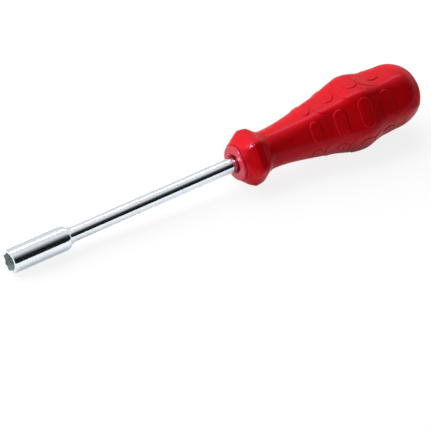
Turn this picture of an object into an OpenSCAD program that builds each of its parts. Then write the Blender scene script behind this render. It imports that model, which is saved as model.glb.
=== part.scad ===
// Nut driver: a hexagon socket head on a round shaft, with a moulded faceted handle.
// The tool axis is X, from the socket mouth at the origin towards the handle; Z is up.

/* [Socket head] */
// Nut size across flats
nut_af = 8; // [6:0.5:8]
// Total play between nut flats and socket flats
nut_play = 0.1; // [0.05:0.05:0.2]
// Depth of the hexagon from the mouth
hex_depth = 10; // [7:1:13]
// Direction of one hexagon corner, turned from -Y up over +Z
hex_turn = 47; // [0:1:60]
// Outside diameter of the socket head
socket_d = 11.6; // [11.4:0.2:13]
// Length of the socket head, shoulder and neck included
socket_len = 34.5; // [33:0.5:40]
// Length of the rounded shoulder behind the straight part
shoulder_len = 6; // [4.5:0.5:7]
// Diameter of the neck land that meets the shaft
neck_land_d = 7.4; // [7.2:0.1:7.8]
// Width of the bevel on the outer edge of the mouth
mouth_bevel = 0.4; // [0.2:0.1:0.5]
// Length of that bevel along the axis
bevel_len = 1.4; // [0.4:0.2:2]
// Depth of the clearance hole for the stud, from the mouth
stud_depth = 20; // [16:1:20]
// Stud clearance hole, as a share of the nut size
stud_ratio = 0.74; // [0.66:0.02:0.84]

/* [Shaft] */
// Diameter of the round shaft
shaft_d = 7; // [6.5:0.1:7.2]
// Blade length from the mouth to the front face of the handle
blade_len = 125; // [75:5:200]
// Diameter of the spigot that is fixed in the socket head
spigot_d = 5.2; // [4.6:0.2:5.6]
// Length of the spigot
spigot_len = 12; // [8:1:12]
// Brazing gap round the spigot
braze_gap = 0.05; // [0.02:0.01:0.1]
// Length of shaft inside the handle
tail_len = 70; // [60:1:74]
// Width over the two forged wings
wing_span = 11; // [9:0.5:12]
// Thickness of the wings
wing_t = 2.8; // [2:0.2:4]
// Length of the wings
wing_len = 13; // [8:1:16]

/* [Handle outline] */
// Length of the handle
handle_len = 98.8; // [94:0.2:108]
// Diameter at the front edge
front_d = 18; // [17.8:0.2:20]
// Diameter over the corners of the collar's front ridge
collar_d = 27; // [25:0.5:31]
// Diameter over the corners at the back edge of the collar
land_d = 26; // [24:0.5:30]
// Diameter where the back of the collar runs into the neck
heel_d = 19.5; // [19:0.1:21]
// Diameter of the round neck behind the collar
neck_d = 18.6; // [18:0.2:20]
// Diameter over the corners at the start of the grip
swell_d = 27.1; // [26:0.5:30]
// Largest diameter, over the corners
belly_d = 35.6; // [34:0.4:40]
// Diameter over the corners of the waist near the end
waist_d = 31; // [30:0.5:34]
// Diameter over the corners where the end starts to round over
butt_d = 30.2; // [29:0.4:33]
// How flat the grip facets are: 4 is round, larger is flatter
grip_facet = 14; // [8:1:20]
// How flat the collar facets are
collar_facet = 12; // [6:1:16]

/* [Grip relief] */
// Distance between the rings of finger pads
pad_pitch = 12.65; // [12:0.05:13]
// Station of the first ring of pads, from the handle front
pad_start = 37.8; // [36:0.1:39]
// Width of a pad along the handle, where the handle is fullest
pad_w = 6.4; // [5:0.1:7]
// Half angle that a long pad spans round the handle
pad_angle = 23; // [18:0.5:25]
// Half angle that a short pad spans, in front of which the scales lie
short_angle = 11.5; // [10.5:0.5:14]
// Height of the pads above the facets
pad_rise = 0.35; // [0.2:0.05:0.8]
// How far the front edge of a scale lies before the middle of its pad
scale_lead = 9.1; // [8:0.1:9.5]
// Height of the front edge of a scale
scale_rise = 0.4; // [0.2:0.05:0.9]

/* [Handle core] */
// Diameter of the front disc that shows at the nose
disc_d = 17; // [15:0.2:17.2]
// How far the front disc stands proud of the outer moulding
disc_proud = 1.5; // [0.8:0.1:2]
// Radius of the rounded edge of the front disc
disc_edge = 0.8; // [0.2:0.1:1]
// Diameter of the recess round the shaft in the front disc
recess_d = 9.4; // [8:0.2:11]
// Depth of that recess
recess_depth = 3; // [1.5:0.5:3.5]
// Diameter of the core stem inside the neck
stem_d = 12.4; // [11.8:0.2:13]
// Diameter over the corners of the hexagonal core body
body_d = 20; // [19:0.5:21]
// Diameter of the core at the bottom of its locking grooves
groove_d = 15; // [14:0.2:15.6]
// Width of a locking groove
groove_w = 6; // [4:0.5:8]
// Gap between the core and the outer moulding
mould_gap = 0.08; // [0.06:0.01:0.15]

/* [Hidden] */
$fn = 96;
// how far a cut runs on past the surface that it opens
cut = 1;

// socket head
lead_margin = 0.25;
rim_min = 0.35;
neck_land_len = 1;
// the shoulder rounds over these shares of its drop and its length, then runs straight to the neck
shoulder_drop = 0.55;
shoulder_run = 0.45;
hex_af = nut_af + nut_play;
hex_corner_r = hex_af / 2 / cos(30);
stud_r = nut_af * stud_ratio / 2;
barrel_len = socket_len - shoulder_len;
mouth_r = socket_d / 2 - mouth_bevel;
lead_r = min(hex_corner_r + lead_margin, mouth_r - rim_min);
lead_depth = lead_r - hex_af / 2;

// shaft
spigot_chamfer = 0.4;
tail_chamfer = 0.8;
wing_front = 4;
wing_back = 2;
wing_to_end = 8;
spigot_x = socket_len - spigot_len;
shaft_end = blade_len + tail_len;
wing_x = shaft_end - wing_len - wing_to_end;

// stations of the handle outline, measured from the handle front
collar_s = 5.6;
land_s = 9.3;
heel_s = 13.7;
neck_s = 16.8;
throat_s = 28;
swell_s = 45.2;
belly_s = 64.3;
waist_s = 75.5;
butt_s = 83.4;
end_power = 2.2;
// outline over the corners up to the rounded end: station, radius, slope before and slope after
outline = [
    [0, front_d / 2, 0, 1.4],
    [collar_s, collar_d / 2, 0.25, -0.05],
    [land_s, land_d / 2, -0.25, -0.45],
    [heel_s, heel_d / 2, -0.45, -0.45],
    [neck_s, neck_d / 2, 0, 0],
    [swell_s, swell_d / 2, 0.17, 0.17],
    [belly_s, belly_d / 2, 0, 0],
    [waist_s, waist_d / 2, 0, 0],
    [butt_s, butt_d / 2, 0, 0],
];
// flatness of the facets at stations along the handle
flatness = [
    [0, 2.5], [collar_s / 2, collar_facet], [land_s, collar_facet], [heel_s, 4], [neck_s, 4], [throat_s, 6],
    [swell_s, grip_facet * 0.8], [belly_s, grip_facet], [waist_s, grip_facet * 0.85],
    [butt_s, grip_facet * 0.6], [handle_len, 2],
];

// handle core
disc_back = 4;
body_start = 38;
body_end = 85;
grooves = [50, 67];

// grip relief: rings of pads, each ring after the first with a scale in front of its short pads
pad_rings = 4;
pad_edge = 0.4;
scale_curve = 0.75;
scale_fall = 1.4;
last_ring_narrowing = 1.6;
// a scale starts at least this far behind the pad before it and rises over this length
scale_gap = 0.1;
scale_edge = 0.15;
// angle over which a scale fades on either side of its facet's corners
scale_wrap = 3;
// most that a ring leans, and the share of it beyond the corner, by angle from the middle of the scaled facet
lean_max = 5;
lean_fade = [[30, 1], [35, 0.6], [38.5, 0.15], [42, 0]];

// directions in which the skin is drawn, closer together where the pads end
turns = [for (f = [0:5]) for (d = [-25, -21.5, -18, -14, -8, 0, 8, 14, 18, 21.5, 25, 30]) 30 + 60 * f + d];
around = len(turns);

// cubic from outline point a to outline point b
function cubic(a, b, s) =
    let (d = b[0] - a[0], t = (s - a[0]) / d, t2 = t * t, t3 = t2 * t)
    (1 - 3 * t2 + 2 * t3) * a[1] + (3 * t2 - 2 * t3) * b[1]
    + (t3 - 2 * t2 + t) * d * a[3] + (t3 - t2) * d * b[2];

// rounded end of the handle, a quarter of a superellipse
function end_r(s) =
    let (t = min(1, (s - butt_s) / (handle_len - butt_s)))
    butt_d / 2 * pow(1 - pow(t, end_power), 1 / end_power);

// radius over the corners at station s
function outline_r(s) =
    s >= butt_s ? end_r(s)
    : let (k = [for (i = [0:len(outline) - 2]) if (s <= outline[i + 1][0]) i][0])
        cubic(outline[k], outline[k + 1], s);

// six smoothed flats round the axis; flats at 30, 90, 150 ... degrees, corners between them
function flats(a, p) =
    let (sides = [for (k = [0:5]) pow(max(0, cos(a - 30 - 60 * k)), p)])
    pow(sides[0] + sides[1] + sides[2] + sides[3] + sides[4] + sides[5], -1 / p);

function skin_r(s, a) =
    let (p = lookup(s, flatness))
    outline_r(s) * flats(a, p) / flats(0, p);

// station, radius over the corners and half width of ring k of the pads
function pad_s(k) = pad_start + k * pad_pitch;
function pad_r(k) = outline_r(pad_s(k));
function half_pad(k) = pad_w / belly_d * pad_r(k);

// angle from the middle of the nearest facet, and of the nearest facet that carries scales
function off_middle(a) = (a + 360) % 60 - 30;
function off_scaled(a) = (a + 330) % 120 - 60;
function scaled(a) = abs(off_scaled(a)) < 30;

// the last scale and its short pad are narrower than the ones before them
function narrowing(k) = k == pad_rings - 1 ? last_ring_narrowing : 1;

// share of full height, with a short slope down from the edge at distance r
function inside(r, dist) = max(0, min(1, (r + pad_edge - dist) / pad_edge));

// a pad is an oval across its facet: long on a plain facet, short on a scaled one
function pad_height(k, s, a) =
    let (reach = pad_r(k) * sin(scaled(a) ? short_angle : pad_angle),
        across = abs(outline_r(s) * sin(off_middle(a))) * (scaled(a) ? narrowing(k) : 1),
        past = max(0, across - reach + half_pad(k)))
    pad_rise * inside(half_pad(k), norm([s - pad_s(k), past]));

// front edge of scale k, behind the pad before it, and the radius of that edge
function scale_front(k) = max(pad_s(k) - scale_lead, pad_s(k - 1) + half_pad(k - 1) + pad_edge + scale_gap);
function scale_r(k) = scale_curve * pad_r(k);

// a scale is highest at its round front edge, sinks into the skin at its pad and ends at the facet's corners
function scale_height(k, s, a) =
    let (back = s - scale_front(k),
        dist = norm([back - scale_r(k), narrowing(k) * outline_r(s) * sin(off_scaled(a))]),
        corner = max(0, min(1, (30 + scale_wrap - abs(off_scaled(a))) / (2 * scale_wrap))))
    dist < scale_r(k) ? corner * max(0, scale_rise * (1 - scale_fall * back / pad_pitch)) : 0;

function relief(s, a) =
    max([for (k = [1:pad_rings - 1]) scale_height(k, s, a)])
    + max([for (k = [0:pad_rings - 1]) pad_height(k, s, a)]);

// how far a ring leans back to follow the round front edge of scale k
function lean(k, a) =
    let (d = abs(off_scaled(a)), r = scale_r(k), across = narrowing(k) * pad_r(k) * sin(min(d, 30)))
    k == 0 ? 0 : lookup(d, lean_fade) * min(lean_max, r - sqrt(max(0, r * r - across * across)));

// one ring of the skin; q is [station, share of the lean, number of the ring of pads]
function skin_ring(q) =
    [for (a = turns) let (s = q[0] + q[1] * lean(q[2], a), r = skin_r(s, a) + relief(s, a))
        [s, -r * cos(a), r * sin(a)]];

// round and hexagonal rings of the hollow for the core
function round_ring(s, d) = [for (a = turns) [s, -d / 2 * cos(a), d / 2 * sin(a)]];
function hex_ring(s, d) =
    [for (a = turns) let (r = d / 2 * cos(30) / cos(off_middle(a))) [s, -r * cos(a), r * sin(a)]];

// upright rings from station s0 to s1, without the one at s0
function plain_rings(s0, s1, steps) = [for (k = [1:steps]) [s0 + (s1 - s0) * k / steps, 0, 0]];

// rings round the pads and the scale of ring k
function pad_rings_of(k) =
    let (h = half_pad(k), steps = [[-h - pad_edge, 0.45], [-h, 0.42], [-h / 2, 0.25], [0, 0.1], [h / 2, 0],
        [h, 0], [h + pad_edge, 0]])
    [for (q = steps) [pad_s(k) + q[0], q[1], k]];
function scale_rings_of(k) =
    let (f = scale_front(k))
    k == 0 ? [] : [[f, 1, k], [f + scale_edge, 1, k], [f + (pad_s(k) - f) * 0.3, 0.75, k]];

// rings along the skin: collar and neck, then the pads and scales, then the rounded end
first_pad = pad_start - half_pad(0) - pad_edge;
last_pad = pad_s(pad_rings - 1) + half_pad(pad_rings - 1) + pad_edge;
front_rings = concat([[0, 0, 0]], plain_rings(0, collar_s, 5), plain_rings(collar_s, land_s, 2),
    plain_rings(land_s, heel_s, 4), plain_rings(heel_s, neck_s, 2),
    plain_rings(neck_s, first_pad - pad_edge, 5));
grip_rings = [for (k = [0:pad_rings - 1]) for (q = concat(scale_rings_of(k), pad_rings_of(k))) q];
end_rings = concat(plain_rings(last_pad, butt_s, 2),
    [for (a = [10:11:87]) [butt_s + (handle_len - butt_s) * sin(a), 0, 0]]);

// hollow that the core fills, from its inner end to the front
core_rings = let (b = body_d + 2 * mould_gap / cos(30), g = groove_d + 2 * mould_gap,
    c = stem_d + 2 * mould_gap, f = disc_d + 2 * mould_gap, h = groove_w / 2 - mould_gap)
    concat([hex_ring(body_end + mould_gap, b)],
        [for (k = [len(grooves) - 1:-1:0]) let (s = grooves[k])
            for (r = [hex_ring(s + h, b), round_ring(s + h, g), round_ring(s - h, g), hex_ring(s - h, b)]) r],
        [hex_ring(body_start - mould_gap, b), round_ring(body_start - mould_gap, c),
            round_ring(disc_back + mould_gap, c), round_ring(disc_back + mould_gap, f), round_ring(0, f)]);

// closed solid through a list of rings, with a point on the axis at stations s0 and s1 to close its ends
module loft(rings, s0, s1) {
    last = len(rings) - 1;
    ends = [for (r = rings) for (p = r) p];
    c0 = len(ends);
    sides = [for (i = [0:last - 1]) for (j = [0:around - 1])
        let (n = (j + 1) % around, a = i * around, b = (i + 1) * around)
        for (tri = [[a + j, a + n, b + n], [a + j, b + n, b + j]]) tri];
    front = [for (j = [0:around - 1]) [(j + 1) % around, j, c0]];
    back = [for (j = [0:around - 1]) [last * around + j, last * around + (j + 1) % around, c0 + 1]];
    polyhedron(points = concat(ends, [[s0, 0, 0], [s1, 0, 0]]), faces = concat(front, sides, back));
}

// profile points [x, radius] turned round the tool axis
module lathe(points) {
    rotate([0, 90, 0])
        rotate_extrude()
            polygon([for (p = points) [p[1], p[0]]]);
}

module rod(x0, x1, d) {
    translate([x0, 0, 0])
        rotate([0, 90, 0])
            cylinder(d = d, h = x1 - x0);
}

module hexagon_pocket() {
    rotate([0, 90, 0])
        translate([0, 0, -cut]) {
            rotate([0, 0, 270 - hex_turn])
                cylinder(r = hex_corner_r, h = hex_depth + cut, $fn = 6);
            cylinder(r1 = lead_r + cut, r2 = hex_af / 2, h = lead_depth + cut);
        }
}

module socket() {
    land_r = neck_land_d / 2;
    drop = (socket_d / 2 - land_r) * shoulder_drop;
    run = shoulder_len * shoulder_run;
    shoulder = [for (a = [0:15:90])
        [barrel_len + run * sin(a), socket_d / 2 - drop * (1 - cos(a))]];
    color([0.8, 0.8, 0.84])
        difference() {
            lathe(concat([[0, 0], [0, mouth_r], [bevel_len, socket_d / 2]], shoulder,
                [[socket_len - neck_land_len, land_r], [socket_len, land_r], [socket_len, 0]]));
            hexagon_pocket();
            rod(hex_depth - cut, stud_depth, stud_r * 2);
            rod(spigot_x, socket_len + cut, spigot_d + 2 * braze_gap);
        }
}

// the two wings pinched out of the shaft, with sloping ends
module wings() {
    half = wing_span / 2;
    linear_extrude(wing_t, center = true)
        polygon([[wing_x - wing_front, 0], [wing_x, half], [wing_x + wing_len, half],
            [wing_x + wing_len + wing_back, 0], [wing_x + wing_len, -half], [wing_x, -half]]);
}

module shaft() {
    r = shaft_d / 2;
    color([0.82, 0.82, 0.86])
        union() {
            lathe([[spigot_x, 0], [spigot_x, spigot_d / 2 - spigot_chamfer],
                [spigot_x + spigot_chamfer, spigot_d / 2], [socket_len, spigot_d / 2], [socket_len, r],
                [shaft_end - tail_chamfer, r], [shaft_end, r - tail_chamfer], [shaft_end, 0]]);
            wings();
        }
}

// groove cut all round the hexagonal body
module groove(s) {
    difference() {
        rod(s - groove_w / 2, s + groove_w / 2, body_d + 2 * cut);
        rod(s - groove_w / 2 - cut, s + groove_w / 2 + cut, groove_d);
    }
}

module handle_core() {
    rounded_edge = [for (a = [0:30:90])
        [disc_edge * (1 - sin(a)) - disc_proud, disc_d / 2 - disc_edge * (1 - cos(a))]];
    color([0.7, 0.03, 0.06])
        difference() {
            translate([blade_len, 0, 0])
                union() {
                    lathe(concat([[body_start + cut, 0], [body_start + cut, stem_d / 2],
                        [disc_back, stem_d / 2], [disc_back, disc_d / 2]], rounded_edge, [[-disc_proud, 0]]));
                    difference() {
                        translate([body_start, 0, 0])
                            rotate([0, 90, 0])
                                rotate([0, 0, 30])
                                    cylinder(d = body_d, h = body_end - body_start, $fn = 6);
                        for (s = grooves)
                            groove(s);
                    }
                }
            rod(blade_len - disc_proud - cut, blade_len - disc_proud + recess_depth, recess_d);
            rod(blade_len - disc_proud - cut, shaft_end - tail_chamfer, shaft_d);
            lathe([[shaft_end - tail_chamfer - cut, 0], [shaft_end - tail_chamfer - cut, shaft_d / 2],
                [shaft_end - tail_chamfer, shaft_d / 2], [shaft_end, shaft_d / 2 - tail_chamfer],
                [shaft_end, 0]]);
            wings();
        }
}

module grip() {
    color([0.8, 0.05, 0.08])
        translate([blade_len, 0, 0])
            loft(concat(core_rings, [for (q = concat(front_rings, grip_rings, end_rings)) skin_ring(q)]),
                body_end + mould_gap, handle_len);
}

socket();
shaft();
handle_core();
grip();
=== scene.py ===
import math

import bpy
import numpy as np
from mathutils import Matrix, Vector


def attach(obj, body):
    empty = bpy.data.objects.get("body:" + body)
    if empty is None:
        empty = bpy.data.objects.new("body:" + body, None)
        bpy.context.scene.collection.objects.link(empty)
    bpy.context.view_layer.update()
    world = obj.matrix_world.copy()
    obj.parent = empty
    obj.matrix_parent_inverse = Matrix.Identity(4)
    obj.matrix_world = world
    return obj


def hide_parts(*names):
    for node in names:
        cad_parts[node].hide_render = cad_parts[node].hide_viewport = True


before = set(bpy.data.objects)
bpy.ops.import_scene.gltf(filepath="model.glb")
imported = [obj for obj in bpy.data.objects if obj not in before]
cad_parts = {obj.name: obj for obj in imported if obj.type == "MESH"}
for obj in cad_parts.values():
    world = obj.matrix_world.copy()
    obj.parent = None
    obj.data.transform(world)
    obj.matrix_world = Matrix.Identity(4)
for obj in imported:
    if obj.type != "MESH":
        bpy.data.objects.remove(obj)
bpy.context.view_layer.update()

MM = 0.001

# Sizes of the driver in millimetres, as in its solids with three exceptions that follow the photograph:
# the mouth's lead is smaller, the recess in the nose is a shallow cone, and the collar's ridge is crisper.
# The tool axis is X, with the socket mouth at the origin; s is measured from the handle front.
HEX_AF, HEX_DEPTH, HEX_TURN = 8.1, 10.0, math.radians(47)
HEX_CORNER_R = HEX_AF / 2 / math.cos(math.pi / 6)
LEAD_R, LEAD_LEAST, MOUTH_EDGE = 4.45, 0.06, 0.05
STUD_R, STUD_DEPTH, STUD_FLARE, STUD_FLARE_LEN = 2.96, 20.0, 0.2, 0.3
SOCKET_R, SOCKET_LEN, BARREL_LEN, BARREL_HOLD = 5.8, 34.5, 28.5, 0.4
MOUTH_R, BEVEL_LEN, BEVEL_ROUND = 5.4, 1.4, 2.5
RIM_MARGIN, RIM_EDGE = 0.12, 0.12
SHOULDER_DROP, SHOULDER_RUN = 0.55, 0.45
LAND_R, LAND_LEN, LAND_EDGE = 3.7, 1.0, 0.12
SPIGOT_R, SPIGOT_LEN, BRAZE_GAP = 2.6, 12.0, 0.05
SHAFT_R, SHAFT_END, SHAFT_EDGE = 3.5, 195.0, 0.1
TAIL_CHAMFER, SPIGOT_CHAMFER = 0.8, 0.4
WING_HALF, WING_T, WING_X, WING_LEN = 5.5, 2.8, 174.0, 13.0
WING_RISE, WING_FALL = 4.0, 2.0
HANDLE_X, HANDLE_LEN = 125.0, 98.8
DISC_R, DISC_PROUD, DISC_BACK, DISC_EDGE = 8.5, 1.5, 4.0, 0.8
RECESS_R, RECESS_DEPTH, RECESS_EDGE, BORE_HOLD = 4.7, 1.7, 0.45, 4
STEM_R, BODY_R, GROOVE_R, GROOVE_W = 6.2, 10.0, 7.5, 6.0
BODY_START, BODY_END, GROOVES = 38.0, 85.0, (50.0, 67.0)
MOULD_GAP = 0.08
SEAM_FOOT, SEAM_TOP, SEAM_FLARE = 0.25, 0.05, 0.1

# Stations of the handle's outline.
COLLAR_S, LAND_S, HEEL_S, NECK_S, THROAT_S = 5.6, 9.3, 13.7, 16.8, 28.0
SWELL_S, BELLY_S, WAIST_S, BUTT_S = 45.2, 64.3, 75.5, 83.4
BELLY_R = 17.8
# Outline over the handle's corners: station, radius, slope before and after.
OUTLINE = (
    (0.0, 9.0, 0.0, 1.4),
    (COLLAR_S, 13.5, 0.5, -0.15),
    (LAND_S, 13.0, -0.25, -0.45),
    (HEEL_S, 9.75, -0.45, -0.45),
    (NECK_S, 9.3, 0.0, 0.0),
    (SWELL_S, 13.55, 0.17, 0.17),
    (BELLY_S, BELLY_R, 0.0, 0.0),
    (WAIST_S, 15.5, 0.0, 0.0),
    (BUTT_S, 15.1, 0.0, 0.0),
)
END_POWER = 2.2
# How flat the six facets are along the handle: at 2 and at 4 the ring is round.
FLATNESS = (
    (0.0, 2.5), (COLLAR_S / 2, 16.0), (LAND_S, 16.0), (HEEL_S, 4.0), (NECK_S, 4.0), (THROAT_S, 6.0),
    (SWELL_S, 11.2), (BELLY_S, 14.0), (WAIST_S, 11.9), (BUTT_S, 8.4), (HANDLE_LEN, 2.0),
)

PAD_START, PAD_PITCH, PAD_RINGS = 37.8, 12.65, 4
PAD_W, PAD_RISE, PAD_EDGE = 6.4, 0.35, 0.4
LONG_REACH, SHORT_REACH = math.sin(math.radians(23)), math.sin(math.radians(11.5))
SCALE_LEAD, SCALE_GAP, SCALE_CURVE = 9.1, 0.1, 0.75
SCALE_RISE, SCALE_FALL, SCALE_EDGE, SCALE_WRAP = 0.4, 1.4, 0.3, 3.0
LAST_RING_NARROWING = 1.6

# Points round the turned pieces and round the grip.
TURNED, FACETED = 192, 480
# Rings where the wings rise and fall, degrees between the rings of the socket's shoulder.
WING_RISE_RINGS, WING_FALL_RINGS, SHOULDER_STEP = 9, 6, 6
# First and last turn over the grip's rounded end, in degrees, and the rings between them.
END_FIRST, END_LAST, END_RINGS = 2, 89, 44
TINY = 1e-6


def smooth(t):
    """Soft step from 0 to 1."""
    t = np.clip(t, 0, 1)
    return t * t * (3 - 2 * t)


def rounded(profile, steps=5, hold=1.2):
    """Corners (x, r, fillet) as points, each fillet an arc with a point held close on either side of it."""
    points = []
    for i, (x, r, fillet) in enumerate(profile):
        corner = np.array((x, r), float)
        if not fillet:
            points.append((x, r))
            continue
        before = np.array(profile[i - 1][:2], float) - corner
        after = np.array(profile[i + 1][:2], float) - corner
        before /= np.linalg.norm(before)
        after /= np.linalg.norm(after)
        half = 0.5 * math.acos(float(np.clip(before @ after, -1, 1)))
        reach = fillet / math.tan(half)
        middle = before + after
        middle = corner + middle / np.linalg.norm(middle) * fillet / math.sin(half)
        first = corner + before * reach - middle
        last = corner + after * reach - middle
        turn = math.atan2(first[0] * last[1] - first[1] * last[0], first @ last)
        points.append(tuple(corner + before * reach * hold))
        for k in range(steps + 1):
            c, s = math.cos(turn * k / steps), math.sin(turn * k / steps)
            points.append(tuple(middle + (first[0] * c - first[1] * s, first[0] * s + first[1] * c)))
        points.append(tuple(corner + after * reach * hold))
    return points


def turns(around):
    """Directions round the tool axis, from -Y up over +Z."""
    return np.arange(around) * (2 * math.pi / around)


def ring_solid(name, rings, around, materials, lining=0, crease=32):
    """Closed solid through rings (x, r) on the tool axis; `lining` first bands take the second material."""
    angle = turns(around)
    count = len(rings)
    points = np.zeros((count * around + 2, 3))
    for i, (x, r) in enumerate(rings):
        band = points[i * around:(i + 1) * around]
        band[:, 0] = x
        band[:, 1] = -r * np.cos(angle)
        band[:, 2] = r * np.sin(angle)
    first, last = count * around, count * around + 1
    points[first, 0] = points[:around, 0].mean()
    points[last, 0] = points[(count - 1) * around:count * around, 0].mean()
    j = np.arange(around)
    n = (j + 1) % around
    a = (np.arange(count - 1) * around)[:, None]
    quads = np.stack([a + j, a + around + j, a + around + n, a + n], 2).reshape(-1, 4)
    end = (count - 1) * around
    caps = np.concatenate([
        np.stack([np.full(around, first), j, n], 1),
        np.stack([np.full(around, last), end + n, end + j], 1),
    ])
    loops = np.concatenate([quads.ravel(), caps.ravel()])
    sizes = np.concatenate([np.full(len(quads), 4), np.full(len(caps), 3)])
    mesh = bpy.data.meshes.new(name)
    mesh.vertices.add(len(points))
    mesh.vertices.foreach_set("co", (points * MM).ravel())
    mesh.loops.add(len(loops))
    mesh.loops.foreach_set("vertex_index", loops.astype(np.int32))
    mesh.polygons.add(len(sizes))
    mesh.polygons.foreach_set("loop_start", (np.cumsum(sizes) - sizes).astype(np.int32))
    for material in materials:
        mesh.materials.append(material)
    if lining:
        which = np.zeros(len(sizes), np.int32)
        which[:lining * around] = 1
        which[len(quads):len(quads) + around] = 1
        mesh.polygons.foreach_set("material_index", which)
    mesh.update(calc_edges=True)
    mesh.validate()
    mesh.shade_smooth()
    mesh.set_sharp_from_angle(angle=math.radians(crease))
    piece = bpy.data.objects.new(name, mesh)
    bpy.context.scene.collection.objects.link(piece)
    return piece


def hexagon(around, corner_r, turn=0.0):
    """Radius of a hexagon with a corner at the angle `turn`."""
    off = (turns(around) - turn) % (math.pi / 3) - math.pi / 6
    return corner_r * math.cos(math.pi / 6) / np.cos(off)


def bar_rings(around):
    """Rings along the shaft's tail, with the two wings that keep it from turning in the handle."""
    y, z = np.abs(np.cos(turns(around))), np.abs(np.sin(turns(around)))
    wing_end = WING_X + WING_LEN
    stations = np.concatenate([
        np.linspace(WING_X - WING_RISE, WING_X, WING_RISE_RINGS),
        np.linspace(wing_end, wing_end + WING_FALL, WING_FALL_RINGS),
    ])
    spans = np.interp(stations, [WING_X - WING_RISE, WING_X, wing_end, wing_end + WING_FALL],
                      [0, WING_HALF, WING_HALF, 0])
    rings = []
    for x, span in zip(stations, spans):
        wing = np.minimum(span / np.maximum(y, TINY), WING_T / 2 / np.maximum(z, TINY))
        rings.append((x, np.maximum(SHAFT_R, wing)))
    return rings


# The socket head

def socket_rings(around):
    """Rings of the pocket, foot to mouth, and of the outside, from the mouth into the spigot's bore."""
    hexagon_r = hexagon(around, HEX_CORNER_R, HEX_TURN)
    pocket = [
        (STUD_DEPTH, STUD_R), (HEX_DEPTH + STUD_FLARE_LEN, STUD_R), (HEX_DEPTH, STUD_R + STUD_FLARE),
        (HEX_DEPTH, hexagon_r), (HEX_DEPTH / 2, hexagon_r),
        (np.maximum(LEAD_R - hexagon_r, LEAD_LEAST), hexagon_r),
        (0.0, np.maximum(hexagon_r + MOUTH_EDGE, LEAD_R)),
    ]
    drop = (SOCKET_R - LAND_R) * SHOULDER_DROP
    run = (SOCKET_LEN - BARREL_LEN) * SHOULDER_RUN
    turn = np.radians(np.arange(0, 91, SHOULDER_STEP))
    shoulder = [(BARREL_LEN + run * math.sin(t), SOCKET_R - drop * (1 - math.cos(t))) for t in turn]
    outside = rounded([
        (0.0, HEX_CORNER_R + RIM_MARGIN, 0), (0.0, MOUTH_R, RIM_EDGE), (BEVEL_LEN, SOCKET_R, BEVEL_ROUND),
        (BARREL_LEN - BARREL_HOLD, SOCKET_R, 0),
    ]) + shoulder + [
        (SOCKET_LEN - LAND_LEN, LAND_R), (SOCKET_LEN - LAND_EDGE, LAND_R), (SOCKET_LEN, LAND_R - LAND_EDGE),
        (SOCKET_LEN, SPIGOT_R + BRAZE_GAP), (SOCKET_LEN - SPIGOT_LEN, SPIGOT_R + BRAZE_GAP),
    ]
    return pocket, outside


# The shaft

def shaft_rings(around):
    """Rings from the front of the spigot to the end of the tail."""
    back = SOCKET_LEN - SPIGOT_LEN
    front = rounded([
        (back, SPIGOT_R - SPIGOT_CHAMFER, 0), (back + SPIGOT_CHAMFER, SPIGOT_R, 0),
        (SOCKET_LEN, SPIGOT_R, 0), (SOCKET_LEN, SHAFT_R, SHAFT_EDGE), (HANDLE_X, SHAFT_R, 0),
    ])
    tail = [(SHAFT_END - TAIL_CHAMFER, SHAFT_R), (SHAFT_END, SHAFT_R - TAIL_CHAMFER)]
    return front + bar_rings(around) + tail


# The handle's core, with the disc that shows at the nose

def core_rings(around):
    """Rings of the bore, from the shaft's end to the nose, and of the outside, from the nose to the back."""
    nose = HANDLE_X - DISC_PROUD
    recess_foot = nose + RECESS_DEPTH
    bore = [(SHAFT_END, SHAFT_R - TAIL_CHAMFER), (SHAFT_END - TAIL_CHAMFER, SHAFT_R)]
    bore += bar_rings(around)[::-1]
    face = rounded([
        (recess_foot + BORE_HOLD, SHAFT_R, 0), (recess_foot, SHAFT_R, 0),
        (nose, RECESS_R, RECESS_EDGE), (nose, DISC_R, DISC_EDGE),
        (HANDLE_X + DISC_BACK, DISC_R, 0), (HANDLE_X + DISC_BACK, STEM_R, 0),
        (HANDLE_X + BODY_START, STEM_R, 0),
    ])
    body = hexagon(around, BODY_R)
    half = GROOVE_W / 2
    stem = [(HANDLE_X + BODY_START, body)]
    for s in GROOVES:
        for ds, r in ((-half, body), (-half, GROOVE_R), (half, GROOVE_R), (half, body)):
            stem.append((HANDLE_X + s + ds, r))
    return bore + face + stem + [(HANDLE_X + BODY_END, body)]


# The faceted grip

def outline_r(s):
    """Radius over the corners at station s."""
    if s >= BUTT_S:
        t = min(1.0, (s - BUTT_S) / (HANDLE_LEN - BUTT_S))
        return OUTLINE[-1][1] * (1 - t ** END_POWER) ** (1 / END_POWER)
    for (s0, r0, _, m0), (s1, r1, m1, _) in zip(OUTLINE, OUTLINE[1:]):
        if s <= s1:
            d = s1 - s0
            t = (s - s0) / d
            return ((1 - 3 * t * t + 2 * t ** 3) * r0 + (3 * t * t - 2 * t ** 3) * r1
                    + (t ** 3 - 2 * t * t + t) * d * m0 + (t ** 3 - t * t) * d * m1)
    return OUTLINE[-1][1]


def flats(angle, power):
    """Six smoothed flats round the axis, with corners at 0, 60, 120 ... degrees."""
    sides = [np.maximum(0, np.cos(angle - math.pi / 6 - k * math.pi / 3)) ** power for k in range(6)]
    return sum(sides) ** (-1 / power)


def pad_place(k):
    """Station, radius over the corners and half width of one ring of pads."""
    s = PAD_START + k * PAD_PITCH
    return s, outline_r(s), PAD_W / 2 * outline_r(s) / BELLY_R


def scale_front(k):
    """Station of the front edge of a scale, behind the pad before it."""
    before, _, half = pad_place(k - 1)
    return max(pad_place(k)[0] - SCALE_LEAD, before + half + PAD_EDGE + SCALE_GAP)


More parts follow.
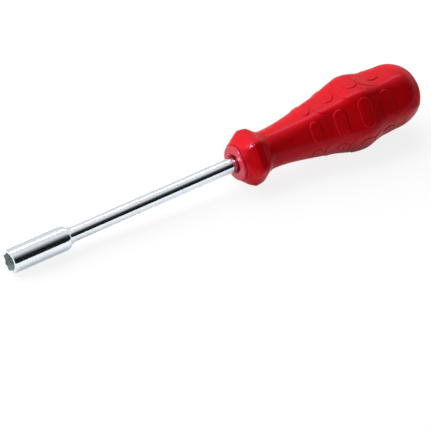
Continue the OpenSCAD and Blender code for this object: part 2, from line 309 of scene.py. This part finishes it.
def relief(s, angle):
    """Height of the pads and the overlapping scales above the skin."""
    r = outline_r(s)
    degrees = np.degrees(angle)
    off_middle = np.abs(r * np.sin(np.radians(degrees % 60 - 30)))
    # The middles of the scaled facets are at 90, 210 and 330 degrees.
    from_scaled = np.abs((degrees + 330) % 120 - 60)
    scaled = from_scaled < 30
    wrap = smooth((30 + SCALE_WRAP - from_scaled) / (2 * SCALE_WRAP))
    pads = np.zeros_like(angle)
    scales = np.zeros_like(angle)
    for k in range(PAD_RINGS):
        middle, pad_r, half = pad_place(k)
        narrowing = LAST_RING_NARROWING if k == PAD_RINGS - 1 else 1
        reach = pad_r * np.where(scaled, SHORT_REACH, LONG_REACH)
        past = np.maximum(0, off_middle * np.where(scaled, narrowing, 1) - reach + half)
        edge = (half + PAD_EDGE - np.hypot(s - middle, past)) / PAD_EDGE
        pads = np.maximum(pads, PAD_RISE * smooth(edge))
        if k:
            behind = s - scale_front(k)
            curve = SCALE_CURVE * pad_r
            within = curve - np.hypot(behind - curve, narrowing * r * np.sin(np.radians(from_scaled)))
            fall = max(0.0, 1 - SCALE_FALL * behind / PAD_PITCH)
            scales = np.maximum(scales, SCALE_RISE * fall * wrap * smooth(within / SCALE_EDGE))
    return pads + scales


def grip_rings(around):
    """Rings of the hollow round the core, back to nose, and of the skin, nose to rounded end."""
    gap = MOULD_GAP
    body = hexagon(around, BODY_R + gap / math.cos(math.pi / 6))
    half = GROOVE_W / 2 - gap
    hollow = [(BODY_END + gap, body)]
    for s in GROOVES[::-1]:
        for ds, r in ((half, body), (half, GROOVE_R + gap), (-half, GROOVE_R + gap), (-half, body)):
            hollow.append((s + ds, r))
    hollow += [
        (BODY_START - gap, body), (BODY_START - gap, STEM_R + gap), (DISC_BACK + gap, STEM_R + gap),
        (DISC_BACK + gap, DISC_R + gap), (SEAM_FOOT, DISC_R + gap), (SEAM_TOP, DISC_R + gap + SEAM_FLARE),
    ]
    end = np.sin(np.radians(np.linspace(END_FIRST, END_LAST, END_RINGS))) ** (2 / END_POWER)
    first_pad = PAD_START - pad_place(0)[2] - 2 * PAD_EDGE
    # Where each stretch of the skin ends, and its rings with both ends counted.
    stretches = ((COLLAR_S, 28), (LAND_S, 16), (HEEL_S, 22), (NECK_S, 12), (first_pad, 50), (BUTT_S, 270))
    stations = [0.0]
    for stop, count in stretches:
        stations.extend(np.linspace(stations[-1], stop, count)[1:])
    stations.extend(BUTT_S + (HANDLE_LEN - BUTT_S) * end)
    angle = turns(around)
    skin = []
    for s in stations:
        power = np.interp(s, *zip(*FLATNESS))
        r = outline_r(s) * flats(angle, power) / flats(np.zeros(1), power)
        skin.append((s, r + relief(s, angle)))
    return [(HANDLE_X + s, r) for s, r in hollow + skin]


# Shader nodes and the groups that materials share

def add(tree, kind, feeds=None, **settings):
    """Adds a node with its settings; feeds are its inputs, where a socket is linked and a value is set."""
    made = tree.nodes.new("ShaderNode" + kind)
    for key, value in settings.items():
        setattr(made, key, value)
    for key, value in (feeds or {}).items():
        if isinstance(value, bpy.types.NodeSocket):
            tree.links.new(value, made.inputs[key])
        else:
            made.inputs[key].default_value = value
    return made


# Places of the two colours and of the result on a colour mix node.
MIX_A, MIX_B, MIX_RESULT = 6, 7, 2


def blend(tree, factor, first, second):
    """Colour that goes from the first to the second as the factor goes from 0 to 1."""
    made = add(tree, "Mix", {"Factor": factor, MIX_A: first, MIX_B: second}, data_type="RGBA")
    return made.outputs[MIX_RESULT]


def times(tree, value, factor):
    """A value multiplied by a factor."""
    return add(tree, "Math", {0: value, 1: factor}, operation="MULTIPLY").outputs[0]


def new_group(name, inputs, outputs):
    """An empty shader node group with named sockets, and its two ends."""
    tree = bpy.data.node_groups.new(name, "ShaderNodeTree")
    for label, kind, value in inputs:
        socket = tree.interface.new_socket(label, in_out="INPUT", socket_type="NodeSocket" + kind)
        if value is not None:
            socket.default_value = value
    for label, kind in outputs:
        tree.interface.new_socket(label, in_out="OUTPUT", socket_type="NodeSocket" + kind)
    return tree, tree.nodes.new("NodeGroupInput"), tree.nodes.new("NodeGroupOutput")


def hand_marks_group():
    """Broad soft patches where a tool has been handled."""
    tree, start, end = new_group(
        "hand marks", [("Vector", "Vector", None), ("Patches", "Float", 0.1), ("Softness", "Float", 0.2)],
        [("Mask", "Float")])
    patch = add(tree, "TexNoise", {"Vector": start.outputs["Vector"], "Scale": start.outputs["Patches"],
                                   "Detail": 4.0, "Roughness": 0.62, "Distortion": 0.6})
    low = add(tree, "Math", {0: 0.5, 1: start.outputs["Softness"]}, operation="SUBTRACT")
    high = add(tree, "Math", {0: 0.5, 1: start.outputs["Softness"]}, operation="ADD")
    mask = add(tree, "MapRange", {"Value": patch.outputs["Fac"], "From Min": low.outputs[0],
                                  "From Max": high.outputs[0]}, interpolation_type="SMOOTHSTEP")
    tree.links.new(mask.outputs["Result"], end.inputs["Mask"])
    return tree


def fine_grain_group():
    """Fine irregular grain of a moulded or pressed surface."""
    tree, start, end = new_group(
        "fine grain", [("Vector", "Vector", None), ("Grains", "Float", 2.0)], [("Height", "Float")])
    cells = add(tree, "TexVoronoi", {"Vector": start.outputs["Vector"], "Scale": start.outputs["Grains"],
                                     "Smoothness": 0.7}, feature="SMOOTH_F1")
    speck = add(tree, "TexNoise", {"Vector": start.outputs["Vector"], "Scale": start.outputs["Grains"],
                                   "Detail": 3.0, "Roughness": 0.7})
    both = add(tree, "Math", {0: cells.outputs["Distance"], 1: 0.5, 2: speck.outputs["Fac"]},
               operation="MULTIPLY_ADD")
    tree.links.new(both.outputs[0], end.inputs["Height"])
    return tree


def fine_lines_group():
    """Fine lines left by polishing or broaching, across the direction in which the vector runs fast."""
    tree, start, end = new_group(
        "fine lines", [("Vector", "Vector", None), ("Lines", "Float", 4.0)],
        [("Height", "Float"), ("Mask", "Float")])
    lines = add(tree, "TexNoise", {"Vector": start.outputs["Vector"], "Scale": start.outputs["Lines"],
                                   "Detail": 2.0, "Roughness": 0.75})
    mask = add(tree, "MapRange", {"Value": lines.outputs["Fac"], "From Min": 0.52, "From Max": 0.72})
    tree.links.new(lines.outputs["Fac"], end.inputs["Height"])
    tree.links.new(mask.outputs["Result"], end.inputs["Mask"])
    return tree


def edge_wear_and_light_group():
    """Masks of outer edges, lighter from wear and a painted highlight, and of inner corners, which take
    painted shade; both from the curvature of the surface.
    """
    tree, start, end = new_group(
        "edge wear, edge highlight and corner shade", [("Reach", "Float", 0.06)], [("Edge", "Float"), ("Corner", "Float")])
    shape = add(tree, "NewGeometry")
    high = add(tree, "Math", {0: 0.5, 1: start.outputs["Reach"]}, operation="ADD")
    low = add(tree, "Math", {0: 0.5, 1: start.outputs["Reach"]}, operation="SUBTRACT")
    edge = add(tree, "MapRange", {"Value": shape.outputs["Pointiness"], "From Min": 0.505,
                                  "From Max": high.outputs[0]})
    corner = add(tree, "MapRange", {"Value": shape.outputs["Pointiness"], "From Min": 0.495,
                                    "From Max": low.outputs[0]})
    tree.links.new(edge.outputs["Result"], end.inputs["Edge"])
    tree.links.new(corner.outputs["Result"], end.inputs["Corner"])
    return tree


def hollow_shade_group():
    """Mask of narrow hollows and inner corners for painted shade, from how much of the room a place sees
    within the reach.
    """
    tree, start, end = new_group(
        "hollow shade", [("Reach", "Float", 0.002), ("Open", "Float", 0.5)], [("Mask", "Float")])
    shelter = add(tree, "AmbientOcclusion", {"Color": (1, 1, 1, 1), "Distance": start.outputs["Reach"]},
                  samples=8)
    depth = add(tree, "MapRange", {"Value": shelter.outputs["AO"], "From Min": 0.1,
                                   "From Max": start.outputs["Open"], "To Min": 1.0, "To Max": 0.0})
    tree.links.new(depth.outputs["Result"], end.inputs["Mask"])
    return tree


GROUPS = {
    "hand marks": hand_marks_group(), "fine grain": fine_grain_group(),
    "fine lines": fine_lines_group(), "edge wear, edge highlight and corner shade": edge_wear_and_light_group(),
    "hollow shade": hollow_shade_group(),
}


def place_group(tree, name, feeds):
    """Puts a shared group into a material."""
    return add(tree, "Group", feeds, node_tree=GROUPS[name])


# Materials

def new_material(name, **constants):
    """A material with its shader and with the place on the piece in millimetres."""
    material = bpy.data.materials.new(name)
    material.use_nodes = True
    tree = material.node_tree
    shader = tree.nodes["Principled BSDF"]
    for key, value in constants.items():
        shader.inputs[key.replace("_", " ")].default_value = value
    place = add(tree, "TexCoord")
    in_mm = add(tree, "VectorMath", {0: place.outputs["Object"], "Scale": 1 / MM}, operation="SCALE")
    return material, tree, shader, in_mm.outputs[0]


def stretched(tree, vector, amounts):
    """A vector multiplied along each axis."""
    return add(tree, "VectorMath", {0: vector, 1: amounts}, operation="MULTIPLY").outputs[0]


# Painted shade: near-black red for inner corners and dark red for hollows; the shares below also set the
# lighter edge red, which is wear and a painted highlight.
CORNER_SHADE_RED, HOLLOW_SHADE_RED = (0.12, 0.0, 0.001, 1), (0.2, 0.002, 0.006, 1)
CORNER_SHADE_SHARE, RUB_AND_HIGHLIGHT_SHARE, HOLLOW_SHADE_SHARE = 0.55, 0.35, 0.6


def red_plastic(name, colour, dark, rubbed_and_highlit, roughness, grains, grain_depth, shine, hollow):
    """Moulded red plastic: fine grain, handling marks, outer edges lighter from wear and a painted
    highlight, painted shade in inner corners and in hollows.
    """
    material, tree, shader, in_mm = new_material(
        name, Specular_IOR_Level=shine, Specular_Tint=(1, 0.55, 1, 1))
    marks = place_group(tree, "hand marks", {"Vector": in_mm, "Patches": 0.07, "Softness": 0.22})
    wear_and_light = place_group(tree, "edge wear, edge highlight and corner shade", {"Reach": 0.04})
    hollow_shade = place_group(tree, "hollow shade", {"Reach": hollow, "Open": 0.5})
    tone = blend(tree, marks.outputs["Mask"], colour, dark)
    # Painted shade in inner corners, edges lighter from wear and a painted highlight, painted shade in
    # hollows.
    tone = blend(tree, times(tree, wear_and_light.outputs["Corner"], CORNER_SHADE_SHARE), tone, CORNER_SHADE_RED)
    tone = blend(tree, times(tree, wear_and_light.outputs["Edge"], RUB_AND_HIGHLIGHT_SHARE), tone, rubbed_and_highlit)
    tone = blend(tree, times(tree, hollow_shade.outputs["Mask"], HOLLOW_SHADE_SHARE), tone, HOLLOW_SHADE_RED)
    tree.links.new(tone, shader.inputs["Base Color"])
    gloss = add(tree, "MapRange", {"Value": marks.outputs["Mask"], "To Min": roughness[0],
                                   "To Max": roughness[1]})
    tree.links.new(gloss.outputs["Result"], shader.inputs["Roughness"])
    skin = place_group(tree, "fine grain", {"Vector": in_mm, "Grains": grains})
    bump = add(tree, "Bump", {"Height": skin.outputs["Height"], "Strength": 1.0, "Distance": grain_depth})
    tree.links.new(bump.outputs["Normal"], shader.inputs["Normal"])
    return material


MARK_SHARE = 0.6
# Reach and openness of the painted shade on the shaft where the socket and the handle shelter it.
SHADE_REACH, SHADE_OPEN = 8 * MM, 0.98


def bright_metal(name, colour, dull, roughness, run, lines, depth, metallic=1.0, hollow_shade_colour=None):
    """Bright metal: fine lines across the direction `run`, handling marks, and, when a shade colour is
    given, painted shade that darkens the metal in sheltered places.
    """
    material, tree, shader, in_mm = new_material(name, Metallic=metallic)
    marks = place_group(tree, "hand marks", {"Vector": in_mm, "Patches": 0.16, "Softness": 0.18})
    grooves = place_group(tree, "fine lines", {"Vector": stretched(tree, in_mm, run), "Lines": lines})
    share = add(tree, "Math", {0: marks.outputs["Mask"], 1: MARK_SHARE, 2: grooves.outputs["Mask"]},
                operation="MULTIPLY_ADD").outputs[0]
    tone = blend(tree, share, colour, dull)
    # Painted shade: the metal goes towards the given dark colour in sheltered places.
    if hollow_shade_colour:
        hollow_shade = place_group(tree, "hollow shade", {"Reach": SHADE_REACH, "Open": SHADE_OPEN})
        tone = blend(tree, hollow_shade.outputs["Mask"], tone, hollow_shade_colour)
    tree.links.new(tone, shader.inputs["Base Color"])
    gloss = add(tree, "MapRange", {"Value": share, "To Min": roughness[0], "To Max": roughness[1]})
    tree.links.new(gloss.outputs["Result"], shader.inputs["Roughness"])
    bump = add(tree, "Bump", {"Height": grooves.outputs["Height"], "Strength": 1.0, "Distance": depth})
    tree.links.new(bump.outputs["Normal"], shader.inputs["Normal"])
    return material


CHROME = (0.86, 0.91, 0.97, 1)
ROUND_LINES, LONG_LINES = (1.0, 0.05, 0.05), (0.08, 1.0, 1.0)
socket_chrome = bright_metal(
    "socket_chrome", CHROME, dull=(0.78, 0.83, 0.89, 1), roughness=(0.07, 0.17),
    run=ROUND_LINES, lines=3.0, depth=4e-7)
# The shaft takes near-black painted shade where it is sheltered by the socket and the handle.
shaft_chrome = bright_metal(
    "shaft_chrome", CHROME, dull=(0.77, 0.82, 0.88, 1), roughness=(0.07, 0.18),
    run=ROUND_LINES, lines=2.2, depth=4e-7, hollow_shade_colour=(0.03, 0.03, 0.032, 1))
broached_steel = bright_metal(
    "broached_steel", (0.52, 0.615, 0.565, 1), dull=(0.395, 0.475, 0.435, 1), roughness=(0.38, 0.55),
    run=LONG_LINES, lines=5.0, depth=3e-6, metallic=0.4)
# The lighter edge red is partly wear and partly a painted highlight; hollows within the reach `hollow` take
# painted shade.
grip_red = red_plastic(
    "grip_red", (0.64, 0.0035, 0.007, 1), dark=(0.6, 0.003, 0.006, 1), rubbed_and_highlit=(0.7, 0.008, 0.012, 1),
    roughness=(0.22, 0.3), grains=1.8, grain_depth=5e-6, shine=0.13, hollow=1.5 * MM)
core_red = red_plastic(
    "core_red", (0.54, 0.0035, 0.007, 1), dark=(0.49, 0.003, 0.006, 1), rubbed_and_highlit=(0.68, 0.008, 0.012, 1),
    roughness=(0.3, 0.42), grains=2.4, grain_depth=5e-6, shine=0.6, hollow=3 * MM)

# Pieces: broached steel lines the pocket up to its lead, which is chromed like the outside

pocket, outside = socket_rings(TURNED)
socket = ring_solid("socket_head", pocket + outside, TURNED, [socket_chrome, broached_steel],
                    lining=len(pocket) - 2)
shaft = ring_solid("shaft_bar", shaft_rings(TURNED), TURNED, [shaft_chrome])
core = ring_solid("core_moulding", core_rings(TURNED), TURNED, [core_red])
grip = ring_solid("grip_moulding", grip_rings(FACETED), FACETED, [grip_red], crease=60)
for piece, cad_node, finish in (
        (socket, "socket", "socket_chrome"), (shaft, "shaft", "shaft_chrome"),
        (core, "handle_core", "core_plastic"), (grip, "grip", "grip_plastic")):
    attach(piece, "root")
    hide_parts(cad_node)

# Stage, in metres: the driver lies on its socket rim and on the fullest part of its grip

grip_points = np.zeros(len(grip.data.vertices) * 3)
grip.data.vertices.foreach_get("co", grip_points)
grip_points = grip_points.reshape(-1, 3)
rim_x, rim_r = BEVEL_LEN * MM, SOCKET_R * MM
lie = float(np.max(np.arctan2(-grip_points[:, 2] - rim_r, grip_points[:, 0] - rim_x)))
along = Vector((math.cos(lie), 0, -math.sin(lie)))
floor_at = Vector((rim_x, 0, -rim_r))

FLOOR_HALF = 6.0
# Share of plain white in the floor, as the camera sees it and as shiny surfaces see it.
FLOOR_LIFT, MIRROR_LIFT = 0.85, 0.36
PAPER, PAPER_PATCH, PAPER_SEEN = (0.88, 0.88, 0.9, 1), (0.9, 0.9, 0.92, 1), (0.93, 0.95, 0.97, 1)
CARD_DARK = (0.008, 0.011, 0.012, 1)


def seen_share(tree, *rays):
    """1 for the kinds of ray that are named, 0 for all others."""
    path = add(tree, "LightPath")
    share = path.outputs[rays[0]]
    for ray in rays[1:]:
        share = add(tree, "Math", {0: share, 1: path.outputs[ray]}, operation="MAXIMUM").outputs[0]
    return share


def pale_paper():
    """Pale floor that keeps its shadow, lifted towards white where the camera or a shiny surface sees it."""
    material, tree, shader, in_mm = new_material("pale_paper", Roughness=0.9, Specular_IOR_Level=0.1)
    marks = place_group(tree, "hand marks", {"Vector": in_mm, "Patches": 0.004, "Softness": 0.3})
    seen = seen_share(tree, "Is Camera Ray", "Is Glossy Ray", "Is Transmission Ray")
    tone = blend(tree, marks.outputs["Mask"], PAPER, PAPER_PATCH)
    tree.links.new(blend(tree, seen, tone, PAPER_SEEN), shader.inputs["Base Color"])
    grain = place_group(tree, "fine grain", {"Vector": in_mm, "Grains": 1.2})
    bump = add(tree, "Bump", {"Height": grain.outputs["Height"], "Distance": 1e-5})
    tree.links.new(bump.outputs["Normal"], shader.inputs["Normal"])
    white = add(tree, "Emission", {"Color": (1, 1, 1, 1), "Strength": 1.0})
    straight = seen_share(tree, "Is Camera Ray", "Is Transmission Ray")
    lift = add(tree, "MapRange", {"Value": straight, "To Min": MIRROR_LIFT, "To Max": FLOOR_LIFT})
    share = times(tree, lift.outputs["Result"], seen)
    both = add(tree, "MixShader", {0: share, 1: shader.outputs[0], 2: white.outputs[0]})
    tree.links.new(both.outputs[0], tree.nodes["Material Output"].inputs["Surface"])
    return material


def soft_dark_card(name, full, gone, cover):
    """Dark studio card that covers the share `cover` and fades out between two heights in metres."""
    material = bpy.data.materials.new(name)
    material.use_nodes = True
    tree = material.node_tree
    shader = tree.nodes["Principled BSDF"]
    shader.inputs["Base Color"].default_value = CARD_DARK
    shader.inputs["Roughness"].default_value = 0.9
    shader.inputs["Specular IOR Level"].default_value = 0.0
    height = add(tree, "SeparateXYZ", {0: add(tree, "TexCoord").outputs["Object"]}).outputs["Z"]
    fade = add(tree, "MapRange", {"Value": height, "From Min": full, "From Max": gone, "To Min": 1 - cover},
               interpolation_type="SMOOTHSTEP")
    clear = add(tree, "BsdfTransparent")
    both = add(tree, "MixShader", {0: fade.outputs["Result"], 1: shader.outputs[0], 2: clear.outputs[0]})
    tree.links.new(both.outputs[0], tree.nodes["Material Output"].inputs["Surface"])
    return material


def flat_card(name, corners, material):
    """One flat face of the stage."""
    mesh = bpy.data.meshes.new(name)
    mesh.from_pydata(corners, [], [range(len(corners))])
    mesh.materials.append(material)
    card = bpy.data.objects.new(name, mesh)
    bpy.context.scene.collection.objects.link(card)
    return card


def dark_card(name, foot_y, top, x0, x1, full, gone, cover=1.0):
    """Dark card from the floor at foot_y up to the place `top`, given as (y, z)."""
    foot0, foot1 = (floor_at + along * x for x in (x0, x1))
    card = flat_card(name, [(x0, foot_y, foot0.z), (x1, foot_y, foot1.z), (x1, *top), (x0, *top)],
                     soft_dark_card(name, full, gone, cover))
    card.visible_camera = False


def mirror_card(name, corners, full, gone, cover):
    """Dark card that only shiny surfaces see."""
    card = flat_card(name, corners, soft_dark_card(name, full, gone, cover))
    card.visible_camera = card.visible_diffuse = card.visible_shadow = False


flat_card("floor", [floor_at + along * a * FLOOR_HALF + Vector((0, b * FLOOR_HALF, 0))
                    for a, b in ((-1, -1), (1, -1), (1, 1), (-1, 1))], pale_paper())
dark_card("near_card", foot_y=-1.0, top=(-0.25, 1.6), x0=-0.5, x1=2.5, full=0.5, gone=1.4)
dark_card("far_card", foot_y=1.4, top=(1.4, 0.6), x0=-2.0, x1=2.0, full=0.05, gone=0.55, cover=0.35)
mirror_card("front_card", [(-1.2, 0.4, 0.1), (-1.2, 2.4, 0.1), (-1.2, 2.4, 1.3), (-1.2, 0.4, 1.3)],
            full=0.9, gone=1.3, cover=0.85)
BEHIND_END = 0.233
end_foot = floor_at + along * BEHIND_END + Vector((0, 0, MM))
mirror_card("end_card", [end_foot + along * a + Vector((0, b, 0))
                         for a, b in ((0, -0.06), (0.4, -0.06), (0.4, 0.5), (0, 0.5))],
            full=0.5, gone=1.0, cover=0.8)

# Room light: how bright the room is as light on matt surfaces, and as shiny surfaces see it

LIGHT, MIRRORED = 0.08, 0.82
world = bpy.data.worlds.new("studio")
bpy.context.scene.world = world
world.use_nodes = True
sky = world.node_tree
mirrored = add(sky, "MapRange", {"Value": seen_share(sky, "Is Glossy Ray"), "To Min": LIGHT,
                                 "To Max": MIRRORED})
level = add(sky, "MapRange", {"Value": seen_share(sky, "Is Camera Ray", "Is Transmission Ray"),
                              "To Min": mirrored.outputs["Result"], "To Max": 1.0})
back = sky.nodes["Background"]
back.inputs["Color"].default_value = (1, 1, 1, 1)
sky.links.new(level.outputs["Result"], back.inputs["Strength"])


# Lamps: a large one and a weak one in front light the matt surfaces, a strip and a small one only shine

def soft_box(name, place, aim, width, depth, power):
    """Lamp that the camera doesn't see, at a place and turned to an aim."""
    lamp = bpy.data.lights.new(name, "AREA")
    lamp.shape = "RECTANGLE"
    lamp.size, lamp.size_y = width, depth
    lamp.energy = power
    box = bpy.data.objects.new(name, lamp)
    box.location = place
    box.rotation_mode = "QUATERNION"
    box.rotation_quaternion = (Vector(aim) - Vector(place)).to_track_quat("-Z", "Y")
    bpy.context.scene.collection.objects.link(box)
    box.visible_camera = False
    return box


COLLAR_CORNER = (0.1295, -0.0067, 0.0117)
overhead = soft_box("overhead", (-0.8, 1.1, 1.3), (-0.8, 0, 0), width=4.0, depth=2.2, power=90.0)
overhead.visible_glossy = False
strip = soft_box("strip", (0.3, 0.66, 1.35), (0.3, 0, 0), width=3.0, depth=0.08, power=12.0)
strip.visible_diffuse = False
front_fill = soft_box("front_fill", (-0.7, -0.02, 0.22), (0.13, 0, 0), width=0.4, depth=0.2, power=2.4)
front_fill.visible_glossy = False
corner_box = soft_box("corner_box", (0.024, -0.031, 0.18), COLLAR_CORNER,
                      width=0.06, depth=0.03, power=0.025)
corner_box.data.spread = math.radians(16)
corner_box.visible_diffuse = False

# Camera at the photograph's viewing angle, with the place of the mouth's centre in its pixels

AZIMUTH, ELEVATION, AXIS_RISE = (math.radians(v) for v in (-34.85, 33.56, 3.04))
SCALE_PX, DISTANCE, FRAME_PX, SENSOR = 2.225, 5000.0, 431.0, 36.0
MOUTH_PX = (9.14, 262.05)

lean = Matrix.Rotation(AXIS_RISE, 3, "Y")
back_w = Vector((math.sin(AZIMUTH) * math.cos(ELEVATION), -math.cos(AZIMUTH) * math.cos(ELEVATION),
                 math.sin(ELEVATION)))
right_w = Vector((math.cos(AZIMUTH), math.sin(AZIMUTH), 0))
axes = [lean @ v for v in (right_w, back_w.cross(right_w), back_w)]
lens = bpy.data.cameras.new("camera")
lens.sensor_width = SENSOR
lens.lens = SCALE_PX * DISTANCE / FRAME_PX * SENSOR
lens.clip_start, lens.clip_end = 0.1, 60.0
camera = bpy.data.objects.new("camera", lens)
off_mouth = axes[0] * (FRAME_PX / 2 - MOUTH_PX[0]) + axes[1] * (MOUTH_PX[1] - FRAME_PX / 2)
spot = off_mouth / SCALE_PX + axes[2] * DISTANCE
camera.matrix_world = Matrix.Translation(spot * MM) @ Matrix(axes).transposed().to_4x4()
bpy.context.scene.collection.objects.link(camera)
bpy.context.scene.camera = camera
bpy.context.scene.view_settings.view_transform = "Standard"
